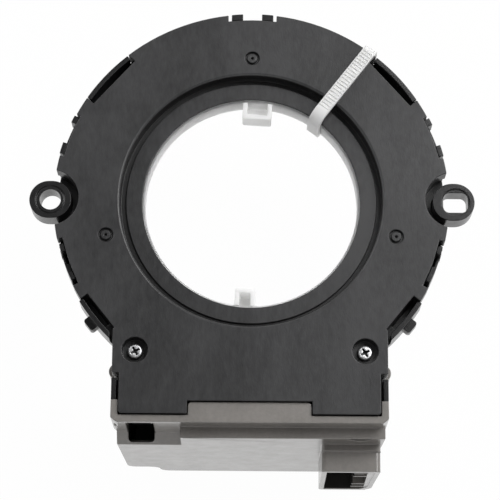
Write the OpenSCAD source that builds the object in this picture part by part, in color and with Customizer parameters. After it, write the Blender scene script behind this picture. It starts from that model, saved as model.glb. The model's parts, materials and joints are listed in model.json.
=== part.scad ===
// Steering angle sensor: a flat ring housing round a geared rotor that the
// steering column turns, with a deep electronics box and its plug socket below.
// The column runs along Z. The front cover faces +Z, the box lies towards -Y,
// and the two fixing lugs sit on the X axis with their seats at Z = 0.

/* [Ring] */
// Inner radius of the rotor, which the steering column passes through
rotor_bore_r = 26.6; // [24:0.1:30]
// Width of the front cover from its opening to its rim
ring_w = 22.0; // [21.8:0.1:24]
// Height of the front face above the lug seats
face_z = 7.7; // [7.6:0.1:8.4]
// Thickness of the front cover's plate
plate_t = 1.2; // [0.9:0.1:1.3]
// Width of the sunk collar round the opening
collar_w = 4.1; // [3:0.1:4.4]
// How far the collar is sunk below the front face
collar_drop = 3.1; // [2.6:0.1:3.2]
// Thickness of the collar
collar_t = 1.5; // [1.1:0.1:1.55]
// Width of the groove round the collar
groove_w = 1.35; // [0.8:0.05:1.5]
// Depth of the groove below the collar
groove_depth = 0.7; // [0.3:0.1:0.8]
// Radius of the rounded step down to the groove
step_round = 0.7; // [0.3:0.1:0.9]
// Height of the cover's outer skirt below its plate
skirt_h = 3.3; // [2.6:0.1:3.4]
// Thickness of the skirt
skirt_t = 1.0; // [0.7:0.1:1.2]
// Thickness of the tray's floor
floor_t = 1.2; // [0.9:0.1:1.3]
// How far the tray's rear face lies behind the lug seats
floor_drop = 1.2; // [1.1:0.1:1.6]
// Thickness of the tray's upright wall
wall_t = 1.0; // [0.8:0.1:1.2]

/* [Rim] */
// Half width of the gap in the rim at the top
top_gap_half = 6.1; // [5.8:0.1:7]
// Depth of the top gap in the cover's edge
top_gap_depth = 1.6; // [1.3:0.1:2]
// Distance of each top catch's middle from the centre plane
top_catch_x = 3.85; // [3.2:0.05:4.2]
// Width of a top catch
top_catch_w = 2.9; // [2:0.1:3.2]
// Depth of the upper flats in the cover's edge
upper_flat_depth = 2.9; // [2.3:0.1:3.2]
// Angle of the upper flats above the X axis
upper_flat_angle = 41.3; // [40.5:0.1:41.5]
// Depth of the lower flats in the cover's edge
lower_flat_depth = 2.5; // [2.2:0.1:2.9]
// Angle of the lower flats below the X axis
lower_flat_angle = 38.6; // [38.3:0.1:39]
// Thickness of the screen that stands outside each flat
screen_t = 1.1; // [0.8:0.1:1.2]
// Depth of the cover's edge beside the upper side catches
side_edge_depth = 1.1; // [0.9:0.1:1.3]
// Depth of the cover's edge beside the lower side catches
low_edge_depth = 1.5; // [1.2:0.1:2]
// How far the upper side catch stands out of the rim
side_catch_out = 0.5; // [0.2:0.1:1]

/* [Fixing lugs] */
// Distance of the round hole's middle outside the rim
hole_out = 0.95; // [0.8:0.05:1.4]
// Distance of the slotted hole's middle outside the rim
slot_out = 1.8; // [1.6:0.05:2]
// Radius of the round hole
hole_r = 2.62; // [2.1:0.02:3]
// Width of the slotted hole
slot_w = 5.1; // [4.2:0.1:5.6]
// Length that the slot adds to its width
slot_extra = 1.05; // [0.5:0.05:1.4]
// Corner radius of the slotted hole
slot_corner = 1.6; // [0.8:0.1:2]
// Radius of a lug's round end
lug_r = 4.85; // [4.6:0.05:5]
// Length of the straight part of a lug's outline
lug_straight = 0.8; // [0.4:0.1:1.2]
// Height of a lug's front face above its seat
lug_t = 5.8; // [5:0.1:6.2]
// Radius of the sunk ring round a lug hole
seat_r = 3.55; // [3.4:0.05:3.8]
// Depth of the sunk ring round the slotted hole
seat_depth = 0.5; // [0.3:0.05:0.8]
// Radius of the cover's round cut-out at a lug
pocket_r = 7.2; // [6.8:0.1:7.3]

/* [Rotor] */
// Thickness of the rotor's sleeve
sleeve_t = 1.7; // [1.2:0.1:1.9]
// Thickness of the rotor's lip in the cover's opening
lip_t = 0.5; // [0.4:0.05:0.8]
// Distance of the rotor's rear edge behind the lug seats
rotor_drop = 1.3; // [1.2:0.1:1.8]
// Number of teeth on the rotor
rotor_teeth = 75; // [72:1:80]
// Height of the teeth's pitch circle above the rotor's sleeve
tooth_rise = 1.7; // [1.6:0.1:2]
// Height of all the gear teeth
gear_t = 2.3; // [1.9:0.1:2.3]
// Turn of the rotor at rest
rest_turn = -3.2; // [-6:0.1:6]
// How far the driving dogs reach into the opening
dog_reach = 4.4; // [3.6:0.1:5.6]
// Width of the upper dog
upper_dog_w = 7.35; // [6:0.05:7.6]
// Width of the lower dog
lower_dog_w = 5.0; // [4:0.1:5.6]
// Wall of a dog
dog_wall = 1.15; // [0.8:0.05:1.3]
// Height of a dog
dog_h = 5.4; // [4:0.1:5.6]

/* [Measuring gears] */
// Number of teeth on the left and top gears
even_teeth = 18; // [17:1:18]
// Number of teeth on the right gear
odd_teeth = 17; // [17:1:18]
// Angle of the left and right gears below the X axis
gear_angle = 15; // [13:0.5:16]
// Radius of the pins that the gears turn on
gear_pin_r = 1.5; // [1.1:0.1:1.7]
// Radius of a magnet
magnet_r = 2.0; // [1.5:0.1:2.2]
// Thickness of a magnet
magnet_t = 1.25; // [1:0.05:1.3]
// Gap between a magnet and its sensor chip
air_gap = 0.4; // [0.3:0.05:0.45]

/* [Box] */
// Half width of the wide part of the cover over the box
lid_wide = 33.6; // [33.3:0.1:34]
// How much narrower the cover is on each side of its lower part
lid_narrowing = 1.8; // [1.7:0.1:2.1]
// Height of the cover's narrow part
lid_step = 10; // [9.4:0.1:10.4]
// Distance of the cover's lower edge below the ring
lid_drop = 5.2; // [4.9:0.1:5.4]
// Corner radius of the cover's lower part
lid_corner = 0.7; // [0.3:0.1:1]
// How much wider the box's front frame is on each side
frame_over = 0.15; // [0:0.05:0.4]
// Thickness of the front frame below the cover
frame_t = 2.0; // [1.8:0.1:2.4]
// Width of the ledge below the front frame
ledge_w = 2.8; // [2.4:0.1:3.4]
// Distance from the box's upper wall to its deep wall
box_h = 23.8; // [23.6:0.1:24.4]
// Depth of the box behind the lug seats
box_depth = 45.2; // [43:0.1:48]
// How much shallower the box is at its left end
step_up = 5.6; // [4:0.1:6.4]
// Width of the shallow left end
step_w = 9.7; // [8:0.1:12]
// How much each side wall leans in over the box's depth
side_lean = 1.5; // [0.6:0.1:1.9]
// Thickness of the box walls
box_wall = 1.7; // [1.3:0.1:1.9]
// Half width of the tongue that reaches into the cover
tongue_half = 15.0; // [13:0.1:17]
// Length of the tongue
tongue_len = 3.2; // [2.5:0.1:3.6]
// Corner radius of the tongue
tongue_corner = 0.9; // [0.4:0.1:1.2]
// Distance of the frame's front edge below the cover's face
frame_sink = 1.0; // [0.7:0.1:1.2]

/* [Socket] */
// Width of the plug socket
socket_w = 14.5; // [14:0.1:15]
// Height of the plug socket
socket_h = 26.8; // [25:0.1:28]
// Distance of the socket's right side inside the cover's side
socket_in = 1.2; // [1:0.1:1.6]
// Distance of the socket's front side behind the lug seats
socket_top = 6.2; // [5.8:0.1:7.4]
// How far the socket stands out of the box
socket_out = 6.8; // [5:0.1:8.5]
// Wall of the socket
socket_wall = 1.35; // [1.1:0.05:1.5]
// Corner radius of the socket's front edges
socket_corner = 1.1; // [0.5:0.1:1.3]
// Depth of the hollow that takes the plug
socket_deep = 11.5; // [9.5:0.1:12]
// Number of contact pins in a column
pin_rows = 4; // [3:1:5]
// Spacing of the contact pins
pin_pitch = 4.0; // [3:0.1:4.2]
// Side of a square contact pin
pin_side = 0.64; // [0.5:0.02:0.7]

/* [Boards] */
// Thickness of the ring-shaped sensor board
ring_board_t = 1.0; // [0.8:0.05:1]
// Thickness of the upright main board
main_board_t = 1.6; // [1:0.1:1.8]
// Distance of the main board's upper side inside the deep wall
main_board_in = 13.6; // [13.2:0.1:13.8]

/* [Screws] */
// Distance of the screws inside the cover's side edges
screw_in = 5.5; // [5.4:0.1:5.8]
// Distance of the screws above the cover's lower edge
screw_up = 15.65; // [15.4:0.05:15.8]
// Radius of a screw's head
head_r = 1.85; // [1.6:0.05:2.2]
// Height of a screw's head
head_h = 1.4; // [1:0.1:1.6]
// Radius of a screw's shank
shank_r = 1.1; // [0.9:0.05:1.25]
// Length of a screw below its head
shank_len = 12; // [10:0.5:13]
// Radius of the hollow that sinks a screw
sink_r = 3.2; // [2.8:0.1:3.3]
// Depth of the hollow that sinks a screw
sink_depth = 3.0; // [2.6:0.1:3.2]

/* [Cable tie] */
// Angle of the tie round the ring
tie_angle = 52.8; // [52.8:0.1:53.4]
// Width of the tie
tie_w = 3.4; // [2.6:0.1:3.4]
// Thickness of the tie
tie_t = 1.0; // [0.8:0.1:1.1]

/* [Hidden] */
$fn = 96;

// Clearances between pieces
running_gap = 0.05;
slip_gap = 0.1;
edge_gap = 0.2;
part_gap = 0.4;
board_gap = 0.3;

// Heights, all from the lug seats
plate_z = face_z - plate_t;
collar_z = face_z - collar_drop;
collar_under = collar_z - collar_t;
groove_z = collar_z - groove_depth;
skirt_z = plate_z - skirt_h;
floor_rear = -floor_drop;
floor_z = floor_rear + floor_t;
frame_z = face_z - frame_sink;
strut_z = plate_z - slip_gap;
rotor_rear = -rotor_drop;
pocket_z = 1.4;
trench_z = 0.6;

// Radii of the ring's walls
journal_r = rotor_bore_r + sleeve_t;
dog_tip_r = rotor_bore_r - dog_reach;
cover_bore_r = rotor_bore_r + lip_t + slip_gap;
rim_r = cover_bore_r + ring_w;
collar_r = cover_bore_r + collar_w;
groove_r = collar_r + groove_w;
throat_r = groove_r + plate_t;
flange_r = rim_r - 0.6;
wall_out = rim_r - skirt_t - slip_gap;
wall_in = wall_out - wall_t;

// Cuts in the cover's edge, and their angles above the X axis
top_gap_r = rim_r - top_gap_depth;
upper_flat = rim_r - upper_flat_depth;
upper_flat_half = 7.7;
lower_flat = rim_r - lower_flat_depth;
lower_flat_up = 5.7;
lower_flat_down = 5.2;
flat_cut = 8;
side_edge_r = rim_r - side_edge_depth;
side_zone = [12.9, 26.4];
low_edge_r = rim_r - low_edge_depth;
low_zone = [-27.5, -12.6];
box_corner_y = rim_r - 15.8;

// Catches on the tray's rim: first and last angle of each
side_catch = [23.8, 26.1];
side_key = [13.7, 17.2];
low_catch = [-16.5, -14.2];
low_web = [-23.3, -20.3];
low_key = [-25.6, -23.2];
upper_screen = [32.6, 50];
lower_screen = [-47.5, -32.1];
screen_gap = 0.85;
trench_end = -42;
bump_half = 1.7;
bump_out = 2.15;
bump_top = 4.2;

// Fixing lugs
hole_x = rim_r + hole_out;
slot_x = rim_r + slot_out;
lug_mids = [-hole_x, slot_x - 0.5];

// Outline of the cover over the box, and the walls of the box
lid_y = rim_r + lid_drop;
lid_step_y = lid_y - lid_step;
lid_half = lid_wide - lid_narrowing;
frame_half = lid_wide + frame_over;
frame_y = lid_y + frame_t;
wall_y = frame_y + ledge_w;
inner_y = wall_y - box_h;
main_board_y = wall_y - main_board_in;
screw_x = lid_wide - screw_in;
screw_y = lid_y - screw_up;
socket_right = lid_wide - socket_in;

// Gears
tooth_module = 2 * (journal_r + tooth_rise) / rotor_teeth;
press_angle = 20;
addendum = 0.95;
dedendum = 1.25;
tooth_play = 0.1;
gear_axis_r = (rotor_teeth + even_teeth) * tooth_module / 2;
shoulder_h = 0.5;
gear_z = floor_z + shoulder_h + running_gap;
gear_top = gear_z + gear_t;
cup_wall = 0.7;
cup_r = magnet_r + cup_wall;
magnet_top = gear_top + magnet_t;
gear_pin_top = gear_top - 0.45;
left_at = 180 + gear_angle;
right_at = -gear_angle;
top_at = 90;
ledge_in = gear_axis_r + (even_teeth / 2 + addendum) * tooth_module + part_gap;
bearing_r = journal_r + running_gap;

// Boards and chips
chip_t = 0.8;
chip_side = 5;
chip_z = magnet_top + air_gap;
ring_board_z = chip_z + chip_t;
ring_board_top = ring_board_z + ring_board_t;
ring_board_in = throat_r + part_gap;
ring_board_out = wall_in - 1;
tail_half = 21;
link_count = 8;
link_pitch = 2.54;
link_xs = [for (i = [0:link_count - 1]) (i - (link_count - 1) / 2) * link_pitch];
link_bend_z = -2.6;
main_back = main_board_y + main_board_t;
tail_y = main_back + 3;
link_y = main_back + 1.5;
box_side = lid_wide - 0.4;
main_board_half = box_side - side_lean - box_wall - board_gap;
main_board_foot = -box_depth + step_up + box_wall + 0.6;
main_board_head = chip_z;

// Tray and its arms over the box
tray_half = lid_wide - 0.3;
tray_end = lid_y - 0.1;
tray_narrow = lid_half - 0.1;
arm_half_in = lid_half + 0.7;
arm_y0 = lid_step_y + 1;
arm_y1 = arm_y0 + 5.5;
arm_top = lug_t + 0.4;
deck_open_y0 = screw_y + 4.2;
deck_open_y1 = lid_y - 2.2;
rest_r = 1.4;
rest_ring_r = ring_board_out - 2.6;

// Box
ledge_z = floor_z + 1.2;
left_ledge_z = -8.2;
left_ledge_x = -17;
frame_in_y = lid_y + edge_gap;
frame_side_in = lid_half + edge_gap;
tongue_y = frame_in_y - tongue_len;
inner_front_y = frame_y - box_wall;
inner_wall_y = wall_y - box_wall;
corner_r = 2.4;
step_x = -box_side + step_w;
boss_r = 3.1;
boss_foot = -14;
window_x0 = -30;
window_x1 = -23.5;
window_top = 5;
window_depth = 3;
window_lip = 0.6;
drain_x = 27;
drain_z = 0.8;
drain_r = 2.7;
drain_depth = 3.2;

// Socket
socket_left = socket_right - socket_w;
socket_bottom = socket_top + socket_h;
socket_y = wall_y + socket_out;
hollow_x0 = socket_left + socket_wall;
hollow_x1 = socket_right - socket_wall;
hollow_top = socket_top + socket_wall;
hollow_bottom = socket_bottom - socket_wall;
hollow_end = socket_y - socket_deep;
carrier_t = 2.4;
pin_out = 6;
carrier_end = hollow_end - carrier_t;
socket_mid_z = -(hollow_top + hollow_bottom) / 2;
pin_zs = [for (i = [0:pin_rows - 1]) socket_mid_z + (i - (pin_rows - 1) / 2) * pin_pitch];
pin_cols = [hollow_x0 + 2.2, hollow_x0 + 4.9];
key_x0 = hollow_x0 + 6.7;
key_z = 7.4;
socket_lean = 0.9;

// Screws
head_z = face_z - sink_depth;
sink_wall = 1.1;
sink_foot = head_z - 1.4;
shank_hole_r = shank_r + 0.1;
pilot_r = shank_r + 0.03;

// Shared helpers
function arc(x, y, r, a0, a1, n = 12) =
    [for (i = [0:n]) let (a = a0 + (a1 - a0) * i / n) [x + r * cos(a), y + r * sin(a)]];
function polar(r, a) = [r * cos(a), r * sin(a)];
function involute(a) = tan(a) * 180 / PI - a;

module ring(r0, r1, z0, z1) {
    translate([0, 0, z0]) difference() {
        cylinder(r = r1, h = z1 - z0, $fn = 240);
        translate([0, 0, -1]) cylinder(r = r0, h = z1 - z0 + 2, $fn = 240);
    }
}

module wedge(a0, a1, r = 80) {
    polygon([[0, 0], for (i = [0:2]) let (a = a0 + (a1 - a0) * i / 2) [r * cos(a), r * sin(a)]]);
}

module sector(r0, r1, a0, a1, z0, z1) {
    intersection() {
        ring(r0, r1, z0, z1);
        translate([0, 0, z0 - 1]) linear_extrude(z1 - z0 + 2) wedge(a0, a1);
    }
}

module block(x0, x1, y0, y1, z0, z1) {
    translate([x0, y0, z0]) cube([x1 - x0, y1 - y0, z1 - z0]);
}

// A strip of the plane that reaches down from the X axis
module apron(half, y) {
    translate([-half, -y]) square([2 * half, y]);
}

module both_sides() {
    children();
    mirror([1, 0, 0]) children();
}

module at_screws() {
    for (s = [-1, 1]) translate([s * screw_x, -screw_y, 0]) children();
}

module lug_shape(x, r, straight) {
    for (s = [-1, 1]) translate([x + s * straight / 2, 0]) circle(r = r);
    translate([x - straight / 2, -r]) square([straight, 2 * r]);
}

// A rectangle round the origin with rounded corners
module round_box(half_x, half_y, r) {
    for (x = [r - half_x, half_x - r]) for (y = [r - half_y, half_y - r]) translate([x, y]) circle(r = r);
    translate([r - half_x, -half_y]) square([2 * (half_x - r), 2 * half_y]);
    translate([-half_x, r - half_y]) square([2 * half_x, 2 * (half_y - r)]);
}

// An outline in the XZ plane, pulled along Y from -y1 to -y0
module upright(y0, y1) {
    translate([0, -y0, 0]) rotate([90, 0, 0]) linear_extrude(y1 - y0) children();
}

// Front cover
// The cuts in the cover's edge, each grown by g
module rim_cuts(g) {
    da = g / rim_r * 180 / PI;
    for (x = lug_mids) translate([x, 0]) circle(r = pocket_r + g);
    difference() {
        translate([-top_gap_half - g, rim_r - flat_cut]) square([2 * (top_gap_half + g), 2 * flat_cut]);
        circle(r = top_gap_r - g, $fn = 240);
    }
    both_sides() {
        rotate(upper_flat_angle) translate([upper_flat - g, -upper_flat_half - g])
            square([flat_cut, 2 * (upper_flat_half + g)]);
        rotate(-lower_flat_angle) translate([lower_flat - g, -lower_flat_down - g])
            square([flat_cut, lower_flat_down + lower_flat_up + 2 * g]);
        translate([lid_wide - g, -lid_step_y]) square([20, lid_step_y - box_corner_y + g]);
        difference() {
            wedge(side_zone[0] - da, side_zone[1] + da);
            circle(r = side_edge_r - g, $fn = 240);
        }
        difference() {
            wedge(low_zone[0] - da, low_zone[1] + da);
            circle(r = low_edge_r - g, $fn = 240);
        }
    }
}

// The cover's outline, inset by g
module cover_outline(g = 0) {
    difference() {
        union() {
            circle(r = rim_r - g, $fn = 240);
            apron(lid_wide - g, lid_step_y - g);
            cover_lap(g);
        }
        rim_cuts(g);
        translate([-tongue_half - edge_gap - g, -lid_y - 1])
            square([2 * (tongue_half + edge_gap + g), lid_y + 1 - tongue_y + 0.15 + g]);
    }
}

// The narrow lower part of the cover, with rounded corners
module cover_lap(g) {
    translate([0, -lid_y / 2]) round_box(lid_half - g, lid_y / 2 - g, max(lid_corner - g, 0.1));
}

// The sunk collar with its groove and the rounded step above it
module cover_throat() {
    rotate_extrude($fn = 240) polygon(concat(
        [[cover_bore_r, collar_under], [throat_r, collar_under], [throat_r, face_z]],
        arc(groove_r + step_round, face_z - step_round, step_round, 90, 180, 8),
        [[groove_r, groove_z], [collar_r, groove_z], [collar_r, collar_z], [cover_bore_r, collar_z]]));
}

// The round mark over a gear's axis
module axis_mark() {
    translate([0, 0, face_z - plate_t + 0.35]) {
        difference() {
            cylinder(r = 1.85, h = plate_t);
            translate([0, 0, -1]) cylinder(r = 1.2, h = plate_t + 2);
        }
        cylinder(r = 0.35, h = plate_t);
    }
}

module front_cover() {
    color("#454545") difference() {
        union() {
            translate([0, 0, plate_z]) linear_extrude(plate_t) difference() {
                cover_outline();
                circle(r = throat_r - 0.2, $fn = 240);
            }
            translate([0, 0, skirt_z]) linear_extrude(face_z - skirt_z) difference() {
                cover_outline();
                cover_outline(skirt_t);
            }
            cover_throat();
            at_screws() translate([0, 0, sink_foot])
                cylinder(r = sink_r + sink_wall, h = face_z - sink_foot);
        }
        at_screws() {
            translate([0, 0, head_z]) cylinder(r = sink_r, h = sink_depth + 1);
            translate([0, 0, sink_foot - 1]) cylinder(r = shank_hole_r, h = 10);
        }
        for (a = [left_at, right_at, top_at]) rotate(a) translate([gear_axis_r, 0, 0]) axis_mark();
    }
}

// Ring tray
module tray_outline() {
    circle(r = flange_r, $fn = 240);
    apron(tray_half, lid_step_y);
    apron(tray_narrow, tray_end);
}

module tray_inside() {
    circle(r = ledge_in, $fn = 240);
    apron(tray_narrow - wall_t, tray_end - wall_t);
}

// The parts of the tray's rim that reach through the gaps in the cover's edge
module rim_catches() {
    both_sides() {
        intersection() {
            block(top_catch_x - top_catch_w / 2, top_catch_x + top_catch_w / 2, 40, 60, 0, face_z - 0.1);
            ring(top_gap_r + slip_gap, rim_r + 0.1, 0, face_z);
        }
        sector(side_edge_r + slip_gap, rim_r + side_catch_out, side_catch[0], side_catch[1],
            skirt_z - 0.5, face_z - 0.9);
        sector(side_edge_r + slip_gap, rim_r + 0.3, side_key[0], side_key[1], skirt_z - 0.5, face_z - 0.5);
        sector(wall_out, rim_r + 0.1, side_key[0], side_catch[1], 0, skirt_z);
        sector(rim_r - screen_t, rim_r + 0.1, upper_screen[0], upper_screen[1], 0, face_z - 0.4);
        difference() {
            sector(rim_r - screen_t + 0.4, rim_r + 0.5, lower_screen[0], lower_screen[1], 0, face_z - 0.8);
            block(0, lid_wide + screen_gap, -60, -30, skirt_z, face_z);
        }
        sector(rim_r - 0.9, rim_r - 0.2, low_zone[0] + 0.2, low_zone[1] - 0.2, 0, skirt_z + 0.5);
        sector(low_edge_r + slip_gap, rim_r + 0.3, low_catch[0], low_catch[1], skirt_z - 0.5, face_z - 0.7);
        sector(low_edge_r + slip_gap, rim_r - 0.2, low_web[0], low_web[1], skirt_z - 0.5, face_z - 1.9);
        sector(low_edge_r + slip_gap, rim_r - 0.2, low_key[0], low_key[1], skirt_z - 0.5, face_z - 0.7);
        rotate(-lower_flat_angle) translate([rim_r + bump_out / 2 - 0.3, 0, 1])
            linear_extrude(bump_top - 1) round_box(bump_out / 2 + 0.3, bump_half, 0.7);
    }
}

module trenches() {
    intersection() {
        difference() {
            circle(r = rim_r - screen_t, $fn = 240);
            cover_outline();
        }
        union() {
            both_sides() {
                wedge(side_zone[0], upper_screen[1]);
                wedge(trench_end, low_zone[1]);
            }
            translate([-top_gap_half, 0]) square([2 * top_gap_half, rim_r]);
        }
    }
}

module tray_arms() {
    both_sides() {
        block(arm_half_in, frame_half, -arm_y1, -arm_y0, floor_rear, arm_top);
        block(tray_narrow - wall_t, arm_half_in + 0.1, -arm_y1, -lid_step_y + 1, floor_rear, skirt_z - 0.5);
    }
    // The snap hook that catches in the window of the box
    hook_x0 = window_x0 + 0.7;
    hook_x1 = window_x1 - 0.7;
    block(hook_x0, hook_x1, -frame_y + 0.3, -lid_y - slip_gap, floor_rear + 0.6, window_top - 1);
    block(hook_x0, hook_x1, -lid_y - 0.5, -tray_end + 0.5, floor_rear + 0.6, skirt_z);
    block(hook_x0, hook_x1, -frame_in_y + slip_gap, -tray_end + 1, left_ledge_z + 1, floor_z);
}

module ring_tray() {
    color("#262626") difference() {
        union() {
            translate([0, 0, floor_rear]) linear_extrude(floor_t) tray_outline();
            translate([0, 0, floor_rear]) linear_extrude(skirt_z - floor_rear) difference() {
                tray_outline();
                tray_inside();
            }
            translate([0, 0, skirt_z - 0.5]) linear_extrude(strut_z - skirt_z + 0.5) intersection() {
                difference() {
                    circle(r = wall_out, $fn = 240);
                    circle(r = wall_in, $fn = 240);
                }
                cover_outline(skirt_t + slip_gap);
                translate([-60, -30]) square([120, 90]);
            }
            translate([0, 0, floor_rear]) linear_extrude(skirt_z - floor_rear) intersection() {
                for (x = lug_mids) translate([x, 0]) circle(r = pocket_r + skirt_t);
                circle(r = flange_r, $fn = 240);
            }
            for (x = lug_mids) linear_extrude(lug_t) lug_shape(x, lug_r, lug_straight);
            for (a = [left_at, right_at, top_at]) rotate(a) translate([gear_axis_r, 0, floor_rear]) {
                cylinder(r = gear_pin_r, h = gear_pin_top - floor_rear);
                cylinder(r = gear_pin_r + 1.1, h = floor_t + shoulder_h);
            }
            for (a = [32, 63, 117, 148, 222, 318]) rotate(a) translate([rest_ring_r, 0, floor_rear])
                cylinder(r = rest_r, h = ring_board_z - floor_rear);
            at_screws() translate([0, 0, floor_rear]) cylinder(r = sink_r + 0.2, h = sink_foot - floor_rear);
            rim_catches();
            tray_arms();
        }
        translate([0, 0, floor_rear - 1]) cylinder(r = bearing_r, h = 10, $fn = 240);
        // The lugs' seats stand clear of the floor, and dark trenches lie outside the cover's edge
        for (x = lug_mids) translate([0, 0, floor_rear - 1]) linear_extrude(floor_drop + 1)
            lug_shape(x, lug_r, lug_straight);
        translate([0, 0, trench_z]) linear_extrude(skirt_z - trench_z) trenches();
        for (x = lug_mids) translate([0, 0, pocket_z]) linear_extrude(lug_t) difference() {
            translate([x, 0]) circle(r = pocket_r);
            lug_shape(x, lug_r, lug_straight);
        }
        translate([-hole_x, 0, floor_rear - 1]) cylinder(r = hole_r, h = lug_t - floor_rear + 2);
        translate([slot_x, 0, floor_rear - 1]) linear_extrude(lug_t - floor_rear + 2)
            round_box((slot_w + slot_extra) / 2, slot_w / 2, slot_corner);
        translate([slot_x, 0, lug_t - seat_depth]) cylinder(r = seat_r, h = seat_depth + 1);
        translate([-hole_x, 0, lug_t - 0.15]) difference() {
            cylinder(r = seat_r + 0.15, h = 1);
            translate([0, 0, -1]) cylinder(r = seat_r - 0.15, h = 3);
        }
        at_screws() translate([0, 0, floor_rear - 1]) cylinder(r = shank_hole_r, h = 12);
        block(-main_board_half - 0.6, main_board_half + 0.6, -deck_open_y1, -deck_open_y0,
            floor_rear - 1, floor_z + 0.5);
    }
}

// Connector box
function side_at(z) = box_side - side_lean * (ledge_z - z) / (ledge_z + box_depth);

// The box's outline seen from below, inset by g, up to height top
module box_outline(g, top) {
    deep = -box_depth;
    shallow = deep + step_up;
    s = step_up / 2;
    right_x = side_at(deep) - corner_r;
    left_x = -side_at(shallow) + corner_r;
    polygon(concat(
        [[-side_at(top) + g, top]],
        arc(left_x, shallow + corner_r, corner_r - g, 180, 270, 8),
        arc(step_x - s, deep + s, s + g, 90, 0, 8),
        arc(step_x + s, deep + s, s - g, 180, 270, 8),
        arc(right_x, deep + corner_r, corner_r - g, 270, 360, 8),
        [[side_at(top) - g, top]]));
}

module frame_shape() {
    w = frame_half;
    difference() {
        polygon([[-w, -arm_y1], [-w, -frame_y + 1.1], [-w + 1.3, -frame_y], [w - 1.3, -frame_y],
            [w, -frame_y + 1.1], [w, -arm_y1]]);
        apron(frame_side_in, frame_in_y);
    }
    translate([0, -frame_in_y + (tongue_len - 0.5) / 2])
        round_box(tongue_half, (tongue_len + 0.5) / 2, tongue_corner);
    translate([-tongue_half, -frame_in_y - 0.5]) square([2 * tongue_half, 1]);
}

module socket_outline(g, top) {
    foot = -socket_bottom + g;
    side = socket_right - g;
    left = socket_left + g;
    r = max(socket_corner - g, 0.2);
    polygon(concat(
        arc(left + r, top - r, r, 180, 90, 6),
        arc(side - r, top - r, r, 90, 0, 6),
        [[side - socket_lean, foot + 2.6], [side - socket_lean - 1.6, foot]],
        arc(left + r, foot + r, r, 270, 180, 6)));
}

module socket_body() {
    upright(carrier_end, wall_y) intersection() {
        socket_outline(0, -socket_top + 0.8);
        box_outline(0.2, floor_rear);
    }
    upright(wall_y - 0.5, wall_y + 1.8) socket_outline(0, -socket_top + 0.8);
    upright(wall_y, socket_y) socket_outline(0, -socket_top);
}

// The hollow for the plug, open towards -Y, with its coding ribs
module socket_hollow() {
    difference() {
        upright(carrier_end - 1, socket_y + 1) socket_outline(socket_wall, -hollow_top);
        for (z = [key_z, -key_z]) for (d = [-1.9, 1.9]) translate([0, 0, socket_mid_z + z + d])
            block(key_x0, socket_right, -socket_y + edge_gap, -hollow_end, -0.3, 0.3);
        block(hollow_x1 - 1.7, socket_right, -socket_y + edge_gap, -hollow_end, -socket_bottom, -socket_top);
    }
}

module box_rails() {
    for (y = [main_board_y - 1.1, main_back + slip_gap]) intersection() {
        upright(y, y + 1) box_outline(0.5, floor_rear);
        union() {
            block(main_board_half - 1.2, 40, -60, -30, -box_depth, floor_rear - 1);
            block(-40, -main_board_half + 1.2, -60, -30, -box_depth, floor_rear - 1);
            block(-40, 40, -60, -30, -box_depth, main_board_foot - 1);
        }
    }
    for (x = [-20, 20])
        block(x - 1.5, x + 1.5, -main_back - 1, -main_board_y + 1, -box_depth + 0.5, main_board_foot);
}

module connector_box() {
    color("#8b8784") difference() {
        union() {
            difference() {
                upright(inner_y, wall_y) box_outline(0, ledge_z);
                upright(inner_y + box_wall, inner_front_y) box_outline(box_wall, ledge_z + 1);
                upright(inner_front_y - 1, inner_wall_y) intersection() {
                    box_outline(box_wall, ledge_z);
                    translate([-40, -60]) square([80, 60 + left_ledge_z - box_wall]);
                }
                block(-40, left_ledge_x, -wall_y - 1, -frame_y, left_ledge_z, ledge_z + 1);
                block(-40, 40, -frame_in_y, -inner_y + 1, floor_rear, 10);
            }
            translate([0, 0, floor_rear - 6]) linear_extrude(frame_z - floor_rear + 6) difference() {
                frame_shape();
                translate([-tongue_half - 1, -frame_in_y]) square([2 * tongue_half + 2, 10]);
            }
            translate([0, 0, skirt_z + slip_gap]) linear_extrude(frame_z - skirt_z - slip_gap)
            intersection() {
                frame_shape();
                translate([-tongue_half - 1, -frame_in_y - 0.5]) square([2 * tongue_half + 2, 10]);
            }
            both_sides() translate([box_side - 0.3, -lid_step_y + 0.3, -16])
                cylinder(r = 2, h = 16 + floor_rear - 0.1);
            at_screws() translate([0, 0, boss_foot]) cylinder(r = boss_r, h = floor_rear - boss_foot);
            socket_body();
            box_rails();
        }
        at_screws() translate([0, 0, boss_foot + 1.2]) cylinder(r = pilot_r, h = 20);
        socket_hollow();
        upright(wall_y - drain_depth, wall_y + 1) intersection() {
            translate([drain_x, drain_z]) circle(r = drain_r);
            translate([drain_x - drain_r, drain_z - drain_r]) square([2 * drain_r, drain_r]);
        }
        translate([(window_x0 + window_x1) / 2, (window_lip - wall_y - inner_front_y + 1) / 2,
            left_ledge_z - window_depth]) linear_extrude(window_top + window_depth - left_ledge_z)
            round_box((window_x1 - window_x0) / 2, (wall_y - window_lip - inner_front_y + 1) / 2, 1);
    }
}

// Rotor
odd_sum = (rotor_teeth + odd_teeth) / 2;
odd_mesh = acos(odd_sum * tooth_module * cos(press_angle) / gear_axis_r);
odd_shift = (involute(odd_mesh) - involute(press_angle)) * PI / 180 * odd_sum / tan(press_angle);

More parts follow.
